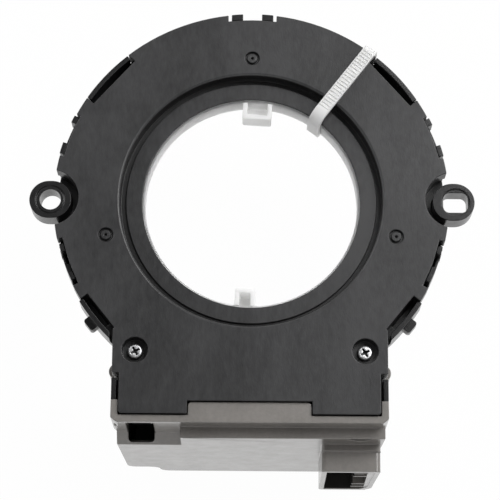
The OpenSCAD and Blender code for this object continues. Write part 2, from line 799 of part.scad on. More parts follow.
// Involute gear outline: teeth, profile shift and the turn of one tooth's middle
function gear_points(teeth, shift, turn) = let (
        pitch_r = teeth * tooth_module / 2,
        base_r = pitch_r * cos(press_angle),
        root_r = pitch_r + (shift - dedendum) * tooth_module,
        tip_r = pitch_r + (shift + addendum) * tooth_module,
        flank_r = max(base_r, root_r),
        thick = (90 + shift * tan(press_angle) * 360 / PI) / teeth - tooth_play * 90 / PI / pitch_r,
        half = thick + involute(press_angle),
        flank = [for (j = [0:3]) let (r = flank_r + (tip_r - flank_r) * j / 3)
            [r, half - involute(acos(base_r / r))]],
        side = concat(base_r > root_r ? [[root_r, flank[0][1]]] : [], flank))
    [for (i = [0:teeth - 1]) let (mid = turn + i * 360 / teeth, last = len(side) - 1)
        each concat([for (p = side) polar(p[0], mid - p[1])],
            [for (k = [0:last]) polar(side[last - k][0], mid + side[last - k][1])])];

module dog(a, w) {
    rotate(rest_turn + a) difference() {
        intersection() {
            block(dog_tip_r, rotor_bore_r + 1, -w / 2, w / 2, rotor_rear, rotor_rear + dog_h);
            translate([0, 0, rotor_rear]) cylinder(r = rotor_bore_r + 0.3, h = dog_h, $fn = 240);
        }
        block(dog_tip_r + dog_wall, rotor_bore_r + 2, dog_wall - w / 2, w / 2 - dog_wall,
            rotor_rear + 0.8, face_z);
    }
}

module rotor() {
    lip_r = cover_bore_r - slip_gap;
    sleeve_top = collar_under - slip_gap;
    color("#f2f1ef") union() {
        ring(rotor_bore_r, journal_r, rotor_rear, sleeve_top);
        ring(rotor_bore_r, lip_r, sleeve_top - 0.5, collar_z - edge_gap);
        translate([0, 0, floor_z + running_gap]) linear_extrude(gear_top - floor_z - running_gap)
        difference() {
            polygon(gear_points(rotor_teeth, 0, rest_turn));
            circle(r = journal_r - 0.3, $fn = 240);
        }
        dog(90, upper_dog_w);
        dog(270, lower_dog_w);
    }
}

// Measuring gears
module gear(a, teeth, shift) {
    tooth_turn = a + 180 + (a - rest_turn) * rotor_teeth / teeth + 180 / teeth;
    color("#e4dfd2") translate([gear_axis_r * cos(a), gear_axis_r * sin(a), 0]) difference() {
        union() {
            translate([0, 0, gear_z]) linear_extrude(gear_t) polygon(gear_points(teeth, shift, tooth_turn));
            translate([0, 0, gear_z]) cylinder(r = cup_r, h = magnet_top - gear_z);
        }
        translate([0, 0, gear_z - 1])
            cylinder(r = gear_pin_r + running_gap, h = gear_pin_top - gear_z + 1 + running_gap);
        translate([0, 0, gear_top]) cylinder(r = magnet_r, h = 5);
    }
}

module left_gear() { gear(left_at, even_teeth, 0); }
module right_gear() { gear(right_at, odd_teeth, odd_shift); }
module top_gear() { gear(top_at, even_teeth, 0); }

module at_gear(a) {
    rotate(a) translate([gear_axis_r, 0, 0]) rotate(-a) children();
}

module magnet(a) {
    color("#6d6f73") at_gear(a) translate([0, 0, gear_top]) cylinder(r = magnet_r, h = magnet_t);
}

module left_magnet() { magnet(left_at); }
module right_magnet() { magnet(right_at); }
module top_magnet() { magnet(top_at); }

// Sensor board and its chips
module sensor_chip(a) {
    half = chip_side / 2;
    color("#202224") at_gear(a) {
        block(-half, half, -half, half, chip_z, ring_board_z);
        for (x = [-1.9, -0.63, 0.63, 1.9])
            block(x - 0.2, x + 0.2, -half - 0.8, half + 0.8, ring_board_z - 0.2, ring_board_z);
    }
}

module left_sensor_chip() { sensor_chip(left_at); }
module right_sensor_chip() { sensor_chip(right_at); }
module top_sensor_chip() { sensor_chip(top_at); }

module sensor_board() {
    color("#2f6b3c") translate([0, 0, ring_board_z]) linear_extrude(ring_board_t) difference() {
        intersection() {
            union() {
                circle(r = ring_board_out, $fn = 240);
                apron(tail_half, tail_y);
            }
            cover_outline(skirt_t + part_gap);
        }
        circle(r = ring_board_in, $fn = 240);
        for (s = [-1, 1]) translate([s * screw_x, -screw_y]) circle(r = sink_r + sink_wall + part_gap);
        for (x = link_xs) translate([x, -link_y]) circle(r = pin_side * 0.75);
    }
}

// Main board and its components
module pin_hole(x, z) {
    translate([x, -main_board_y + 1, z]) rotate([90, 0, 0])
        cylinder(r = pin_side * 0.75, h = main_board_t + 2);
}

module main_board() {
    color("#2f6b3c") difference() {
        block(-main_board_half, main_board_half, -main_back, -main_board_y,
            main_board_foot, main_board_head);
        for (x = link_xs) pin_hole(x, link_bend_z);
        for (x = pin_cols) for (z = pin_zs) pin_hole(x, z);
    }
}

// A place on the board's upper side, at a height above its foot
module on_board(x, height) {
    translate([x, -main_board_y, main_board_foot + height]) rotate([-90, 0, 0]) children();
}

module leads(n, pitch, half, reach) {
    for (i = [0:n - 1]) let (x = (i - (n - 1) / 2) * pitch)
        for (s = [-1, 1]) translate([x - 0.15, s > 0 ? half : -half - reach, 0]) cube([0.3, reach, 0.3]);
}

module microcontroller() {
    color("#1c1d1f") on_board(-8, 17.3) {
        translate([-5, -5, 0]) cube([10, 10, 1.4]);
        leads(12, 0.75, 5, 1);
        rotate(90) leads(12, 0.75, 5, 1);
    }
}

module bus_driver_chip() {
    color("#1c1d1f") on_board(13, 21.3) {
        translate([-2.5, -2, 0]) cube([5, 4, 1.5]);
        leads(4, 1.27, 2, 1);
    }
}

module voltage_regulator() {
    color("#1c1d1f") on_board(20.6, 7.3) {
        translate([-3.3, -3.1, 0]) cube([6.6, 6.2, 2.3]);
        translate([-2.6, 3.1, 0]) cube([5.2, 2, 0.5]);
        for (x = [-2.3, 2.3]) translate([x - 0.4, -5.3, 0]) cube([0.8, 2.2, 0.5]);
    }
}

module clock_crystal() {
    color("#c9ccd0") on_board(-20, 15.3) {
        translate([-1.6, -3.4, 0]) cube([3.2, 6.8, 3]);
        for (s = [-1, 1]) translate([0, s * 3.4, 0]) cylinder(r = 1.6, h = 3);
    }
}

module tall_capacitors() {
    color("#3b3f46") for (x = [3, 11]) on_board(x, 6.3) {
        cylinder(r = 3.1, h = 7);
        translate([-3.3, -3.3, 0]) cube([6.6, 6.6, 0.8]);
    }
}

module chip_capacitors() {
    color("#b99a6b") for (p = [[-16, 25.3], [-16, 7.3], [-1, 25.3], [4, 25.3], [18, 27.3], [18, 15.3]])
        on_board(p[0], p[1]) translate([-1, -0.6, 0]) cube([2, 1.2, 1.1]);
}

// Contact pins and the pins that link the two boards
module pin_carrier() {
    color("#1e1e1e") difference() {
        upright(carrier_end, hollow_end) socket_outline(socket_wall, -hollow_top);
        for (x = pin_cols) for (z = pin_zs) square_pin(x, z, carrier_end - 1, hollow_end + 1);
    }
}

module square_pin(x, z, y0, y1) {
    half = pin_side / 2;
    block(x - half, x + half, -y1, -y0, z - half, z + half);
}

module contact_pins() {
    color("#c8b98a") for (x = pin_cols) for (z = pin_zs)
        square_pin(x, z, main_board_y - 0.8, hollow_end + pin_out);
}

module link_header() {
    half = pin_side / 2;
    side = link_count * link_pitch / 2;
    color("#1e1e1e") difference() {
        block(-side, side, -link_y - link_pitch / 2, -main_back, -0.6, 1.9);
        for (x = link_xs) block(x - half, x + half, -link_y - half, -link_y + half, -2, 3);
    }
}

module link_pins() {
    half = pin_side / 2;
    color("#c8b98a") for (x = link_xs) {
        block(x - half, x + half, -link_y - half, -link_y + half,
            link_bend_z - half, ring_board_top + slip_gap);
        block(x - half, x + half, -link_y, -main_board_y + 0.8, link_bend_z - half, link_bend_z + half);
    }
}

// Screws
module screw(s) {
    color("#c7c9cc") translate([s * screw_x, -screw_y, head_z]) difference() {
        union() {
            rotate_extrude() polygon(concat([[0, 0], [head_r, 0]],
                arc(head_r - 0.6, head_h - 0.6, 0.6, 0, 70, 6), [[0, head_h]]));
            translate([0, 0, -shank_len]) cylinder(r = shank_r, h = shank_len + 0.2);
        }
        for (a = [30, 120]) rotate(a) translate([-head_r * 0.62, -0.28, head_h - 0.8])
            cube([head_r * 1.24, 0.56, 2]);
        translate([0, 0, head_h - 1.1]) cylinder(r = 0.55, h = 2);
    }
}

module left_screw() { screw(-1); }
module right_screw() { screw(1); }

// Cable tie
module cable_tie() {
    in0 = rotor_bore_r - edge_gap;
    in1 = rim_r + slip_gap;
    back = rotor_rear - slip_gap;
    mid = (in0 + in1) / 2;
    head_half = 2.6;
    head_foot = back - 4.4;
    slot_top = back - tie_t - 0.6;
    color("#f4f4f2") rotate(tie_angle) {
        translate([mid, tie_w / 2, 0]) rotate([90, 0, 0]) linear_extrude(tie_w) difference() {
            translate([0, (face_z + back) / 2])
                round_box((in1 - in0) / 2 + tie_t, (face_z - back) / 2 + tie_t, 1.4);
            translate([in0 - mid, back]) square([in1 - in0, face_z - back]);
        }
        difference() {
            block(mid - head_half, mid + head_half, -2.9, 2.9, head_foot, back - tie_t + 0.2);
            block(mid - 0.8, mid + 0.8, -tie_w / 2 - 0.1, tie_w / 2 + 0.1, head_foot - 0.6, slot_top);
        }
        block(mid - 0.5, mid + 0.5, -tie_w / 2, tie_w / 2, head_foot - 1.6, slot_top);
    }
}

front_cover();
ring_tray();
connector_box();
rotor();
left_gear();
right_gear();
top_gear();
left_magnet();
right_magnet();
top_magnet();
sensor_board();
left_sensor_chip();
right_sensor_chip();
top_sensor_chip();
main_board();
microcontroller();
bus_driver_chip();
voltage_regulator();
clock_crystal();
tall_capacitors();
chip_capacitors();
pin_carrier();
contact_pins();
link_header();
link_pins();
left_screw();
right_screw();
cable_tie();
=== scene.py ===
import json
import math

import bmesh
import bpy
from mathutils import Matrix, Vector


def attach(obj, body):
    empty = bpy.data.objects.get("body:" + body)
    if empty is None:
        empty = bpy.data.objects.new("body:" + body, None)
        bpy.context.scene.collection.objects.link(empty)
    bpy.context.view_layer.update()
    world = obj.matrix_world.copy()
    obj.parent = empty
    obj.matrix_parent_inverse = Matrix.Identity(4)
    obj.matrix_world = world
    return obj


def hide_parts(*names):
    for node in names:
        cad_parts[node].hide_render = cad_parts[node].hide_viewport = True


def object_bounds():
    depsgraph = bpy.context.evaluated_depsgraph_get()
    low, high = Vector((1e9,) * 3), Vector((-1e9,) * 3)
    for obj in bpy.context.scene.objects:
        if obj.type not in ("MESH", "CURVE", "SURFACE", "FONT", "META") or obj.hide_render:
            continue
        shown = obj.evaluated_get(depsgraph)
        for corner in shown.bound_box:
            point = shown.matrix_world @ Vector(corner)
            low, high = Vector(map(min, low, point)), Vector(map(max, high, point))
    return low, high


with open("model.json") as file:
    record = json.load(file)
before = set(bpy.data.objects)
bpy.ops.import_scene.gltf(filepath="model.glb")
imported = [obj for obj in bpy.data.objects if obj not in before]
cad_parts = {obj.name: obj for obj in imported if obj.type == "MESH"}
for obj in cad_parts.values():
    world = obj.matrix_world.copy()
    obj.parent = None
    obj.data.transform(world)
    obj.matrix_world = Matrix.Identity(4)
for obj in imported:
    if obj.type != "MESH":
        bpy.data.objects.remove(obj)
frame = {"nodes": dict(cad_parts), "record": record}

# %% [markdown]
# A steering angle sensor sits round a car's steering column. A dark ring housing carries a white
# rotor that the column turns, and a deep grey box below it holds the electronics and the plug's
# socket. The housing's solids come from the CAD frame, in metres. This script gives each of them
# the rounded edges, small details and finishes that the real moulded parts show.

MM = 0.001
bpy.context.scene.view_settings.view_transform = "Standard"
nodes = frame["nodes"]
cad_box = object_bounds()
print("CAD box in mm:", [[round(v / MM, 2) for v in corner] for corner in cad_box])

# %% [markdown]
# The camera comes first, because every later choice is judged through it. The photograph was
# taken from a little below the ring's axis with a long lens, so that the circles look nearly
# round. The lens and the place below are those at which the ring, both lugs and the socket fall
# on the photograph's own outlines.

# %% Camera
tilt = math.radians(15.95)
roll = math.radians(0.43)
camera_place = (-0.22 * MM, -155.78 * MM, 506.1 * MM)
right = Vector((1, 0, 0))
up = Vector((0, math.cos(tilt), math.sin(tilt)))
forward = Vector((0, math.sin(tilt), -math.cos(tilt)))
turned_right = math.cos(roll) * right + math.sin(roll) * up
turned_up = math.cos(roll) * up - math.sin(roll) * right

lens = bpy.data.cameras.new("view_of_the_photograph")
lens.lens = 151.2
lens.sensor_width = 36
camera = bpy.data.objects.new("view_of_the_photograph", lens)
bpy.context.scene.collection.objects.link(camera)
camera.matrix_world = Matrix.Translation(camera_place) @ Matrix(
    (turned_right, turned_up, -forward)).transposed().to_4x4()
bpy.context.scene.camera = camera
print("camera at", [round(v, 4) for v in camera.location])

# %% [markdown]
# Materials and the world are both built from nodes, and a few kinds of node come back again and
# again: the parts of a vector, a sum on two values, a range of values mapped to another, and a
# mix of two shaders. Each gets a helper that adds the node and gives back its output.

# %% Helpers for nodes
def axes(tree, vector):
    """The X, Y and Z values of a vector."""
    split = tree.nodes.new("ShaderNodeSeparateXYZ")
    tree.links.new(vector, split.inputs["Vector"])
    return split.outputs


def math_node(tree, operation, *values):
    """A sum on values, each of which is a number or the output of another node."""
    node = tree.nodes.new("ShaderNodeMath")
    node.operation = operation
    for socket, value in zip(node.inputs, values):
        if isinstance(value, bpy.types.NodeSocket):
            tree.links.new(value, socket)
        else:
            socket.default_value = value
    return node.outputs[0]


def map_range(tree, value, low, high, to_low, to_high):
    """A value whose range from low to high is stretched to run between two other numbers."""
    node = tree.nodes.new("ShaderNodeMapRange")
    limits = {"From Min": low, "From Max": high, "To Min": to_low, "To Max": to_high}
    for socket, number in limits.items():
        node.inputs[socket].default_value = number
    tree.links.new(value, node.inputs["Value"])
    return node.outputs["Result"]


def mix_shaders(tree, share, base, other):
    """The base shader, with a share of another one."""
    node = tree.nodes.new("ShaderNodeMixShader")
    tree.links.new(share, node.inputs["Fac"])
    tree.links.new(base, node.inputs[1])
    tree.links.new(other, node.inputs[2])
    return node.outputs["Shader"]


print("helpers for nodes ready")

# %% [markdown]
# The floor is white to the camera, and in reflections and through clear plastic too. A small
# part of it is still lit by the lamps, so the shadow of the sensor stays on it.

# %% Floor
floor_gap = 0.3 * MM
floor_glow = 0.98


def white_floor():
    """A matt white floor that shines by itself where a ray comes straight or by a mirror."""
    mat = bpy.data.materials.new("white_floor")
    mat.use_nodes = True
    tree = mat.node_tree
    shader = tree.nodes["Principled BSDF"]
    shader.inputs["Base Color"].default_value = (0.85, 0.85, 0.85, 1)
    shader.inputs["Roughness"].default_value = 0.9
    glow = tree.nodes.new("ShaderNodeEmission")
    glow.inputs["Color"].default_value = (1, 1, 1, 1)
    rays = tree.nodes.new("ShaderNodeLightPath").outputs
    direct = math_node(tree, "MAXIMUM", rays["Is Camera Ray"], rays["Is Glossy Ray"])
    direct = math_node(tree, "MAXIMUM", direct, rays["Is Transmission Ray"])
    share = math_node(tree, "MULTIPLY", direct, floor_glow)
    surface = mix_shaders(tree, share, shader.outputs["BSDF"], glow.outputs["Emission"])
    tree.links.new(surface, tree.nodes["Material Output"].inputs["Surface"])
    return mat


bm = bmesh.new()
bmesh.ops.create_grid(bm, x_segments=1, y_segments=1, size=4)
bmesh.ops.translate(bm, verts=bm.verts, vec=(0, 0, cad_box[0].z - floor_gap))
mesh = bpy.data.meshes.new("floor")
bm.to_mesh(mesh)
bm.free()
floor = bpy.data.objects.new("floor", mesh)
bpy.context.scene.collection.objects.link(floor)
mesh.materials.append(white_floor())
print("floor at", round((cad_box[0].z - floor_gap) / MM, 2), "mm")

# %% [markdown]
# The world is pure white to the camera and gives a weak, even light. Glossy faces see a sky of
# their own, white near the horizon and darker overhead, so that level faces stay dark while
# rounded edges and upright walls catch a pale streak.

# %% World
even_light = 0.3
sky_heights = (0.25, 0.8)
sky_strengths = (1.0, 0.14)

world = bpy.data.worlds.new("pale_surroundings")
bpy.context.scene.world = world
world.use_nodes = True
sky = world.node_tree
even = sky.nodes["Background"]
seen = sky.nodes.new("ShaderNodeBackground")
mirrored = sky.nodes.new("ShaderNodeBackground")
for background in (even, seen, mirrored):
    background.inputs["Color"].default_value = (1, 1, 1, 1)
even.inputs["Strength"].default_value = even_light
seen.inputs["Strength"].default_value = 1.0
height = axes(sky, sky.nodes.new("ShaderNodeTexCoord").outputs["Generated"])["Z"]
sky.links.new(map_range(sky, height, *sky_heights, *sky_strengths), mirrored.inputs["Strength"])
rays = sky.nodes.new("ShaderNodeLightPath").outputs
lit = mix_shaders(sky, rays["Is Glossy Ray"], even.outputs[0], mirrored.outputs[0])
shown = mix_shaders(sky, rays["Is Camera Ray"], lit, seen.outputs[0])
sky.links.new(shown, sky.nodes["World Output"].inputs["Surface"])
print("world ready, even light of", even_light)

# %% [markdown]
# A product photograph of a black part is lit by large white sheets: here a strong one to the
# upper right, a weaker one to the upper left and a faint one low in front.

# %% Lamps
def soft_lamp(name, place, size, watts):
    """A square sheet of light at a place in metres, turned to face the ring's centre."""
    lamp = bpy.data.lights.new(name, "AREA")
    lamp.shape = "SQUARE"
    lamp.size = size
    lamp.energy = watts
    sheet = bpy.data.objects.new(name, lamp)
    bpy.context.scene.collection.objects.link(sheet)
    sheet.location = place
    sheet.rotation_euler = (-Vector(place)).to_track_quat("-Z", "Y").to_euler()


soft_lamp("upper_right_sheet", (0.48, 0.36, 0.8), 0.6, 7.9)
soft_lamp("upper_left_sheet", (-0.62, 0.5, 0.7), 0.5, 2.4)
soft_lamp("low_front_sheet", (0, -0.8, 0.6), 0.5, 0.8)
print("lamps:", ", ".join(lamp.name for lamp in bpy.data.lights))

# %% [markdown]
# Every finish starts the same way: a shader, and the place on the piece in metres, taken from
# Object coordinates through a Mapping. From there a few noise textures vary the colour, the
# gloss and the tiny relief of the surface. The methods below are those steps.

# %% Helpers for the finishes
def colour(r, g, b):
    """A colour as an image shows it, 0 to 255, turned to the linear values that a shader needs."""
    return tuple((v / 255 / 12.92) if v < 10.5 else ((v / 255 + 0.055) / 1.055) ** 2.4
                 for v in (r, g, b)) + (1.0,)


class Finish:
    """A material under construction, with its shader and its coordinates."""

    def __init__(self, name, stretch=(1, 1, 1), **fixed):
        self.material = bpy.data.materials.new(name)
        self.material.use_nodes = True
        self.tree = self.material.node_tree
        self.shader = self.tree.nodes["Principled BSDF"]
        for socket, value in fixed.items():
            self.shader.inputs[socket.replace("_", " ")].default_value = value
        coords = self.tree.nodes.new("ShaderNodeTexCoord")
        placed = self.tree.nodes.new("ShaderNodeMapping")
        placed.inputs["Scale"].default_value = stretch
        self.tree.links.new(coords.outputs["Object"], placed.inputs["Vector"])
        self.place = placed.outputs["Vector"]

    def noise(self, scale, detail=3.0, rough=0.5):
        """Noise of so many features to the metre."""
        node = self.tree.nodes.new("ShaderNodeTexNoise")
        node.inputs["Scale"].default_value = scale
        node.inputs["Detail"].default_value = detail
        node.inputs["Roughness"].default_value = rough
        self.tree.links.new(self.place, node.inputs["Vector"])
        return node.outputs["Fac"]

    def add(self, a, b, share):
        """One value plus a share of another."""
        return math_node(self.tree, "MULTIPLY_ADD", b, share, a)

    def tint(self, value, dark, light, low=0.3, high=0.7):
        """The shader's colour, from dark where the value is low to light where it is high."""
        node = self.tree.nodes.new("ShaderNodeValToRGB")
        for stop, place, shade in zip(node.color_ramp.elements, (low, high), (dark, light)):
            stop.position = place
            stop.color = shade
        self.tree.links.new(value, node.inputs["Fac"])
        self.tree.links.new(node.outputs["Color"], self.shader.inputs["Base Color"])
        return node.outputs["Color"]

    def shade(self, tint, value):
        """The shader's colour, made darker by painted shade where the value is below 1."""
        node = self.tree.nodes.new("ShaderNodeMix")
        node.data_type = "RGBA"
        node.blend_type = "MULTIPLY"
        node.inputs["Factor"].default_value = 1.0
        self.tree.links.new(tint, node.inputs["A"])
        self.tree.links.new(value, node.inputs["B"])
        self.tree.links.new(node.outputs["Result"], self.shader.inputs["Base Color"])

    def gloss(self, value, smooth, rough):
        """The shader's roughness, varied over the surface."""
        spread = map_range(self.tree, value, 0.3, 0.7, smooth, rough)
        self.tree.links.new(spread, self.shader.inputs["Roughness"])

    def relief(self, height, depth, strength):
        """A bump of so many metres between the value's 0 and 1."""
        node = self.tree.nodes.new("ShaderNodeBump")
        node.inputs["Distance"].default_value = depth
        node.inputs["Strength"].default_value = strength
        self.tree.links.new(height, node.inputs["Height"])
        self.tree.links.new(node.outputs["Normal"], self.shader.inputs["Normal"])


print("helpers for the finishes ready")

# %% [markdown]
# The walls of the cover's groove, the inside of the plug socket and the recesses of the screws get
# painted shade, because this simple lighting leaves them lighter than the real part. Three helpers
# give a value that is low in such a place and 1 elsewhere, to be used with shade().

# %% Helpers for painted shade
# Shares of the colour left by painted shade in the groove, in the socket and in the screw
# recesses.
painted_groove_shade = 0.3
painted_socket_shade = 0.12
painted_recess_shade = 0.05
painted_shade_blur = 0.04 * MM


def painted_shade_bands(skin, heights):
    """Painted shade: a value that changes between low and 1 at each height, in millimetres, from
    below.
    """
    z = axes(skin.tree, skin.place)["Z"]
    value = None
    for i, height in enumerate(heights):
        low, high = height * MM - painted_shade_blur, height * MM + painted_shade_blur
        if value is None:
            value = map_range(skin.tree, z, low, high, painted_groove_shade, 1.0)
        else:
            change = (painted_groove_shade - 1) * (-1) ** (i + 1)
            value = skin.add(map_range(skin.tree, z, low, high, 0.0, change), value, 1.0)
    return value


def painted_shade_in_box(skin, low, high):
    """Painted shade: a value that is low within a box between two corners, in millimetres, and 1
    beyond.
    """
    low, high = Vector(low) * MM, Vector(high) * MM
    place = skin.place
    for operation, operand in (("SUBTRACT", (low + high) / 2), ("ABSOLUTE", None),
                               ("DIVIDE", (high - low) / 2)):
        node = skin.tree.nodes.new("ShaderNodeVectorMath")
        node.operation = operation
        skin.tree.links.new(place, node.inputs[0])
        if operand:
            node.inputs[1].default_value = operand
        place = node.outputs["Vector"]
    x, y, z = axes(skin.tree, place)
    widest = math_node(skin.tree, "MAXIMUM", math_node(skin.tree, "MAXIMUM", x, y), z)
    return map_range(skin.tree, widest, 0.98, 1.0, painted_socket_shade, 1.0)


def above(skin, height):
    """Painted shade: a value that is low below a height in millimetres and 1 above it."""
    z = axes(skin.tree, skin.place)["Z"]
    return map_range(skin.tree, z, (height - 0.1) * MM, height * MM, painted_recess_shade, 1.0)


print("shares of the colour left: groove", painted_groove_shade, "socket", painted_socket_shade, "recess", painted_recess_shade)

# %% [markdown]
# The housing is moulded in glass-filled nylon. Such a surface is satin, with a fine grain from
# the spark-eroded mould and faint paler blotches where the glass comes to the skin. A second,
# finer noise keeps large faces from looking like one flat colour. On the cover the blotches are
# drawn out across the part, as the melt flowed.

# %% Finishes of the moulded housing
def moulded(name, dark, light, smooth, rough, skin_gloss, specular=0.5, stretch=(1, 1, 1),
            steps=None, hollow=None):
    """Moulded plastic. Steps lists the heights, from below, at which painted shade on its faces
    starts and stops. Hollow holds two corners of a box inside which painted shade darkens all the
    colour."""
    skin = Finish(name, stretch=stretch, IOR=1.5, Coat_Weight=skin_gloss, Coat_Roughness=0.14,
                  Coat_IOR=1.5, Specular_IOR_Level=specular)
    cloud = skin.noise(55, 4, 0.6)
    specks = skin.noise(900, 2, 0.6)
    tint = skin.tint(skin.add(cloud, specks, 0.5), dark, light, 0.5, 0.95)
    # Painted shade on the walls of the groove and inside the socket.
    if steps:
        skin.shade(tint, painted_shade_bands(skin, steps))
    if hollow:
        skin.shade(tint, painted_shade_in_box(skin, *hollow))
    skin.gloss(skin.noise(240, 3, 0.6), smooth, rough)
    skin.relief(skin.add(skin.noise(2600, 2, 0.5), cloud, 0.08), 0.04 * MM, 0.6)
    return skin.material


# Heights of the painted shade on the cover's groove walls, and the box of painted shade inside the
# plug socket.
groove_painted_shade_heights = (4.45, 4.8, 7.4)
socket_painted_shade_box = ((18.6, -65.8, -31.9), (26.4, -59.6, -6.9))

finishes = {
    "dark_plastic": moulded("cover_nylon", colour(32, 32, 33), colour(56, 56, 57), 0.34, 0.46,
                            0.2, 0.35, stretch=(1, 0.4, 1), steps=groove_painted_shade_heights),
    "black_plastic": moulded("tray_nylon", colour(14, 14, 15), colour(23, 23, 24), 0.32, 0.44,
                             0.42, 0.3),
    "carrier_plastic": moulded("carrier_nylon", colour(16, 16, 17), colour(26, 26, 27), 0.5,
                               0.6, 0.0, 0.15),
    "grey_plastic": moulded("box_nylon", colour(112, 109, 105), colour(128, 124, 120), 0.3, 0.4,
                            0.7, hollow=socket_painted_shade_box),
}
print("housing finishes:", ", ".join(finishes))

# %% [markdown]
# The rotor is unfilled acetal. It is white and waxy: light goes in and comes out again some
# millimetres further on, which subsurface scattering gives. The measuring gears are the same
# plastic in a warmer natural colour, and the cable tie is clear nylon that looks white too.

# %% Finishes of the rotor, the gears and the cable tie
def waxy(name, dark, light, rough, depth, weight, see_through):
    """A pale plastic that scatters light inside, over a depth in millimetres."""
    skin = Finish(name, IOR=1.48, Subsurface_Weight=weight, Subsurface_Scale=depth * MM,
                  Transmission_Weight=see_through)
    skin.shader.inputs["Subsurface Radius"].default_value = (1.0, 1.0, 0.97)
    skin.tint(skin.noise(140, 4, 0.55), dark, light)
    skin.gloss(skin.noise(400, 3, 0.6), rough - 0.06, rough + 0.08)
    skin.relief(skin.noise(1500, 2, 0.5), 0.02 * MM, 0.4)
    return skin.material


finishes["white_plastic"] = waxy(
    "rotor_acetal", colour(240, 240, 239), colour(248, 248, 247), 0.42, 5, 1.0, 0.0)
finishes["gear_plastic"] = waxy(
    "gear_acetal", colour(206, 196, 172), colour(224, 216, 196), 0.34, 0.8, 0.25, 0.1)
finishes["tie_nylon"] = waxy(
    "tie_nylon", colour(238, 238, 236), colour(248, 248, 247), 0.38, 2, 0.8, 0.1)
print("waxy finishes: rotor, gears, tie")

# %% [markdown]
# Metal parts are small here. Zinc-plated screws are bright with a faint grain, contact pins are
# tinned over bronze, the capacitor cans are brushed aluminium, and a sintered magnet is dark
# and slightly porous.

# %% Finishes of the metal parts
def plated(name, dark, light, smooth, rough, grain, stretch=(1, 1, 1), recess=None):
    """A metal with a grain so many millimetres deep. Below the height of a recess its colour is
    darkened by painted shade.
    """
    skin = Finish(name, stretch=stretch, Metallic=1.0)
    tint = skin.tint(skin.noise(500, 4, 0.6), dark, light)
    if recess:
        skin.shade(tint, above(skin, recess))
    skin.gloss(skin.noise(1200, 3, 0.6), smooth, rough)
    skin.relief(skin.noise(2500, 3, 0.6), grain * MM, 0.5)
    return skin.material


# The screws' cross recesses get painted shade below 5.7 mm.
finishes["screw_steel"] = plated(
    "zinc_plated_steel", colour(190, 191, 193), colour(226, 226, 227), 0.34, 0.46, 0.008,
    recess=5.7)
finishes["pin_metal"] = plated(
    "tinned_bronze", colour(180, 166, 126), colour(208, 196, 160), 0.2, 0.34, 0.01)
finishes["can_metal"] = plated(
    "brushed_can", colour(176, 178, 182), colour(206, 208, 211), 0.24, 0.4, 0.01,
    stretch=(1, 1, 8))
finishes["magnet_metal"] = plated(
    "sintered_magnet", colour(84, 85, 88), colour(116, 117, 120), 0.42, 0.6, 0.03)
print("metal finishes: screws, pins, cans, magnets")

# %% [markdown]
# Inside the box are the two circuit boards. A board's green lacquer is glossy and lets the
# copper tracks show through as slightly paler lines. A brick pattern stands in for those lines,
# because the closed housing hides the boards from every side.

# %% Finishes of the electronics
def lacquered_board():
    """Green lacquer with paler lines."""
    skin = Finish("board_lacquer", IOR=1.52, Coat_Weight=0.4)
    tracks = skin.tree.nodes.new("ShaderNodeTexBrick")
    tracks.inputs["Scale"].default_value = 160
    tracks.inputs["Mortar Size"].default_value = 0.06
    tracks.inputs["Color1"].default_value = colour(30, 84, 44)
    tracks.inputs["Color2"].default_value = colour(36, 96, 50)
    tracks.inputs["Mortar"].default_value = colour(64, 128, 74)
    skin.tree.links.new(skin.place, tracks.inputs["Vector"])
    skin.tree.links.new(tracks.outputs["Color"], skin.shader.inputs["Base Color"])
    skin.gloss(skin.noise(300), 0.2, 0.34)
    skin.relief(skin.noise(700, 3, 0.6), 0.03 * MM, 0.4)
    return skin.material


def speckled(name, dark, light, smooth, rough):
    """The fine mottled skin of a chip's epoxy or of a ceramic body."""
    skin = Finish(name)
    skin.tint(skin.noise(1800, 3, 0.7), dark, light)
    skin.gloss(skin.noise(900), smooth, rough)
    skin.relief(skin.noise(3000, 2, 0.5), 0.02 * MM, 0.4)
    return skin.material


finishes["board_green"] = lacquered_board()
finishes["chip_black"] = speckled(
    "chip_epoxy", colour(26, 27, 29), colour(42, 43, 46), 0.4, 0.55)
finishes["capacitor_tan"] = speckled(
    "capacitor_ceramic", colour(150, 118, 78), colour(178, 148, 104), 0.4, 0.55)
print(len(finishes), "finishes in all")

# %% [markdown]
# The CAD record says for every node which slot its material belongs to, so the finishes can be
# put on by that name. Only the pin carrier differs: it is deep in the socket, and duller.

# %% Put the finishes on the CAD nodes
slot_of = {part["node"]: part["material_slot"] for part in frame["record"]["subparts"]}
for name, node in nodes.items():
    for held in node.material_slots:
        held.material = finishes[slot_of[name]]
nodes["pin_carrier"].material_slots[0].material = finishes["carrier_plastic"]
print(len(slot_of), "nodes finished")

# %% [markdown]
# A piece that stands for a CAD node rides with the same body and takes the finish of the node's
# slot, and the node is hidden. Its mesh is smooth at the rounds. A Weighted Normal modifier keeps
# its large faces flat all the same.

# %% Helpers for a finished piece
smooth_angle = math.radians(50)


def body_of(node):
    """The body that a CAD node belongs to."""
    bodies = frame["record"]["behaviour"]["bodies"]
    return next(body for body, members in bodies.items() if node in members)


